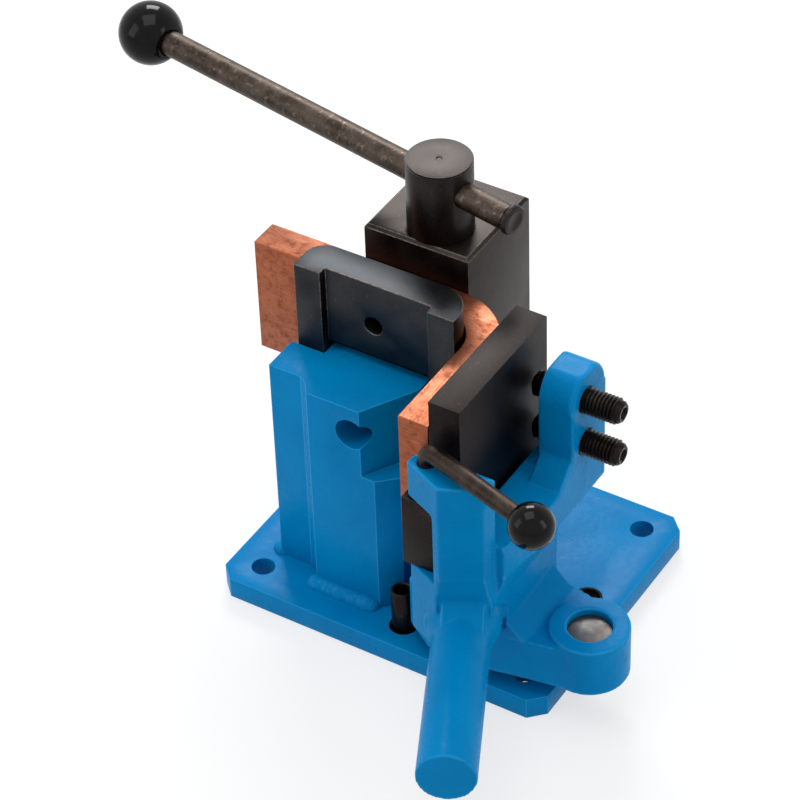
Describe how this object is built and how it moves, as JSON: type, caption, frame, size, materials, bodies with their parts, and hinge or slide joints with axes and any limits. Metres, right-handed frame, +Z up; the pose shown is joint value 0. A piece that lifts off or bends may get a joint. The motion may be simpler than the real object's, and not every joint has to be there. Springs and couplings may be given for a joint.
{
  "type": "eccentric flat bar bender",
  "caption": "Bench bender for flat bar: an eccentric lever clamps the bar to a die and a swing arm with a handle folds it to a right angle.",
  "frame": {"origin": "centre of the four bolt holes, on the underside of the base plate", "axes": "+X along the front edge of the base to the right, +Y from front to back, +Z up"},
  "size_m": [0.3229, 0.2436, 0.2103],
  "materials": {
    "blue_paint": "glossy blue enamel over cast and welded steel",
    "black_steel": "blackened steel",
    "die_steel": "ground and blackened tool steel",
    "brown_steel": "mottled brown bar stock",
    "bright_steel": "bare turned steel",
    "bronze": "turned bearing bronze",
    "knob": "glossy black thermoset",
    "copper": "bare copper bar with scratches"
  },
  "bodies": {
    "base": {"base_plate": "blue_paint", "column": "blue_paint", "weld_beads": "blue_paint", "bending_die": "die_steel", "die_screw": "black_steel", "shaft_bush": "bronze", "pivot_pin": "bright_steel", "thrust_washer": "bronze", "pivot_washer": "black_steel", "pivot_screw": "black_steel", "stop_bushes": "bronze", "jaw_key": "bright_steel"},
    "jaw": {"clamp_block": "black_steel"},
    "clamp_shaft": {"eccentric_shaft": "black_steel", "shaft_washer": "bright_steel", "shaft_nut": "bright_steel"},
    "lever": {"lever_bar": "brown_steel", "lever_knob": "knob", "lever_cap": "black_steel"},
    "arm": {"swing_arm": "blue_paint", "pivot_bush_lower": "bronze", "pivot_bush_upper": "bronze", "knuckle_pin": "bright_steel"},
    "shoe": {"presser_plate": "black_steel", "presser_foot": "black_steel", "foot_screws": "bright_steel"},
    "screw_upper": {"set_screw_upper": "black_steel"},
    "screw_lower": {"set_screw_lower": "black_steel"},
    "release_cam": {"cam_pin": "brown_steel", "cam_rod": "brown_steel", "cam_knob": "knob"},
    "stop": {"stop_pin": "black_steel"},
    "workpiece": {"copper_bar": "copper"}
  },
  "joints": [
    {"name": "clamp_turn", "type": "hinge", "parent": "base", "child": "clamp_shaft", "pos_m": [-0.0192, 0.0274, 0], "axis": [0, 0, 1], "range_deg": [-90, 0]},
    {"name": "jaw_slide", "type": "slide", "parent": "base", "child": "jaw", "axis": [0, 1, 0], "range_m": [0, 0.00355]},
    {"name": "lever_slide", "type": "slide", "parent": "clamp_shaft", "child": "lever", "axis": [0.9826, -0.1857, 0], "range_m": [-0.022, 0.14]},
    {"name": "arm_swing", "type": "hinge", "parent": "base", "child": "arm", "pos_m": [0.017, -0.006, 0], "axis": [0, 0, 1], "range_deg": [0, 90]},
    {"name": "cam_turn", "type": "hinge", "parent": "arm", "child": "release_cam", "pos_m": [0.038, -0.0806, 0], "axis": [0, 0, -1], "range_deg": [0, 90]},
    {"name": "shoe_back", "type": "slide", "parent": "arm", "child": "shoe", "axis": [1, 0, 0], "range_m": [0, 0.00098]},
    {"name": "screw_upper_feed", "type": "slide", "parent": "arm", "child": "screw_upper", "axis": [1, 0, 0], "range_m": [-0.001, 0.02]},
    {"name": "screw_lower_feed", "type": "slide", "parent": "arm", "child": "screw_lower", "axis": [1, 0, 0], "range_m": [-0.001, 0.02]},
    {"name": "stop_lift", "type": "slide", "parent": "base", "child": "stop", "axis": [0, 0, 1], "range_m": [0, 0.035]},
    {"name": "bar_lift", "type": "slide", "parent": "base", "child": "workpiece", "axis": [0, 0, 1], "range_m": [0, 0.08]}
  ],
  "couplings": [
    {"joint": "jaw_slide", "follows": "clamp_turn", "m_per_rad": -0.0022508},
    {"joint": "cam_turn", "follows": "shoe_back", "rad_per_m": 1586.7}
  ]
}
